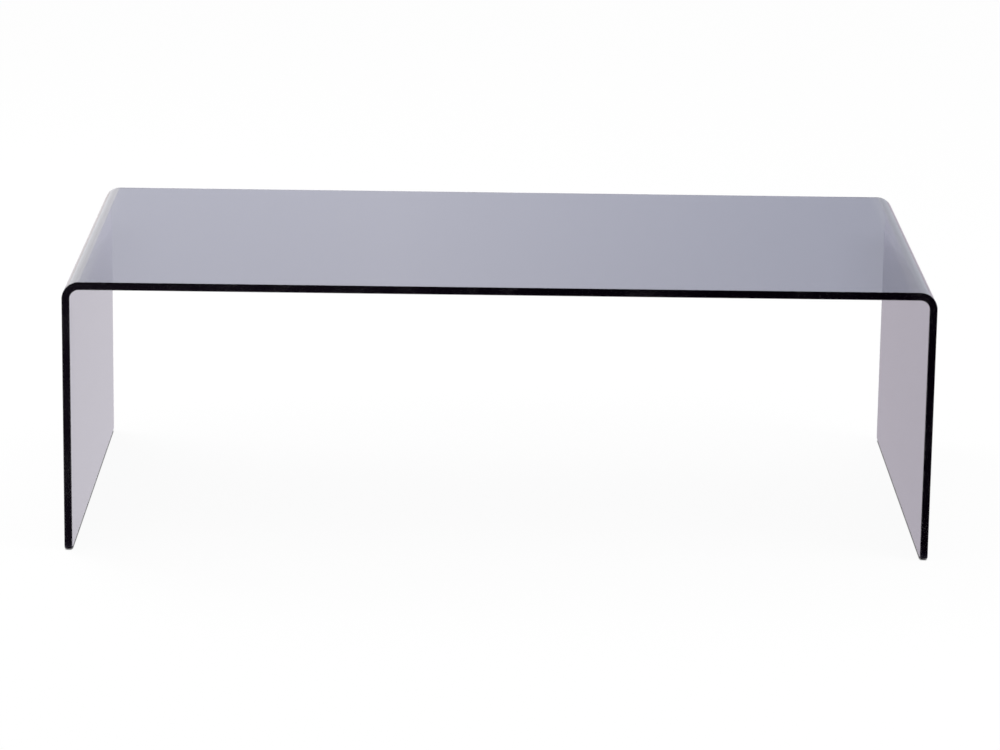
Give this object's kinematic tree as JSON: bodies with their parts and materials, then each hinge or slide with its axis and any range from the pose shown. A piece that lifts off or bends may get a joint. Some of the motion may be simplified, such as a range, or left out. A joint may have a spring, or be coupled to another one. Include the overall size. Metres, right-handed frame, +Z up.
{
  "type": "waterfall coffee table",
  "caption": "Low coffee table of a single smoked glass sheet, bent down at its ends into slab legs that stand on small clear bumpers.",
  "frame": {"origin": "on the floor, under the middle of the table", "axes": "+X along the table's length to its right end as seen from the front, +Y from the front edge to the rear edge, +Z up from the floor to the top"},
  "size_m": [1.1, 0.6, 0.35],
  "materials": {
    "smoked_glass": "grey body-tinted float glass, fire-polished faces, ground and polished edges",
    "clear_bumper": "clear moulded polyurethane, smooth",
    "clear_adhesive": "clear acrylic adhesive film"
  },
  "bodies": {
    "root": {"glass_sheet": "smoked_glass", "foot_pad_front_left": "clear_bumper", "foot_pad_front_right": "clear_bumper", "foot_pad_rear_left": "clear_bumper", "foot_pad_rear_right": "clear_bumper", "adhesive_disc_front_left": "clear_adhesive", "adhesive_disc_front_right": "clear_adhesive", "adhesive_disc_rear_left": "clear_adhesive", "adhesive_disc_rear_right": "clear_adhesive"}
  },
  "joints": []
}
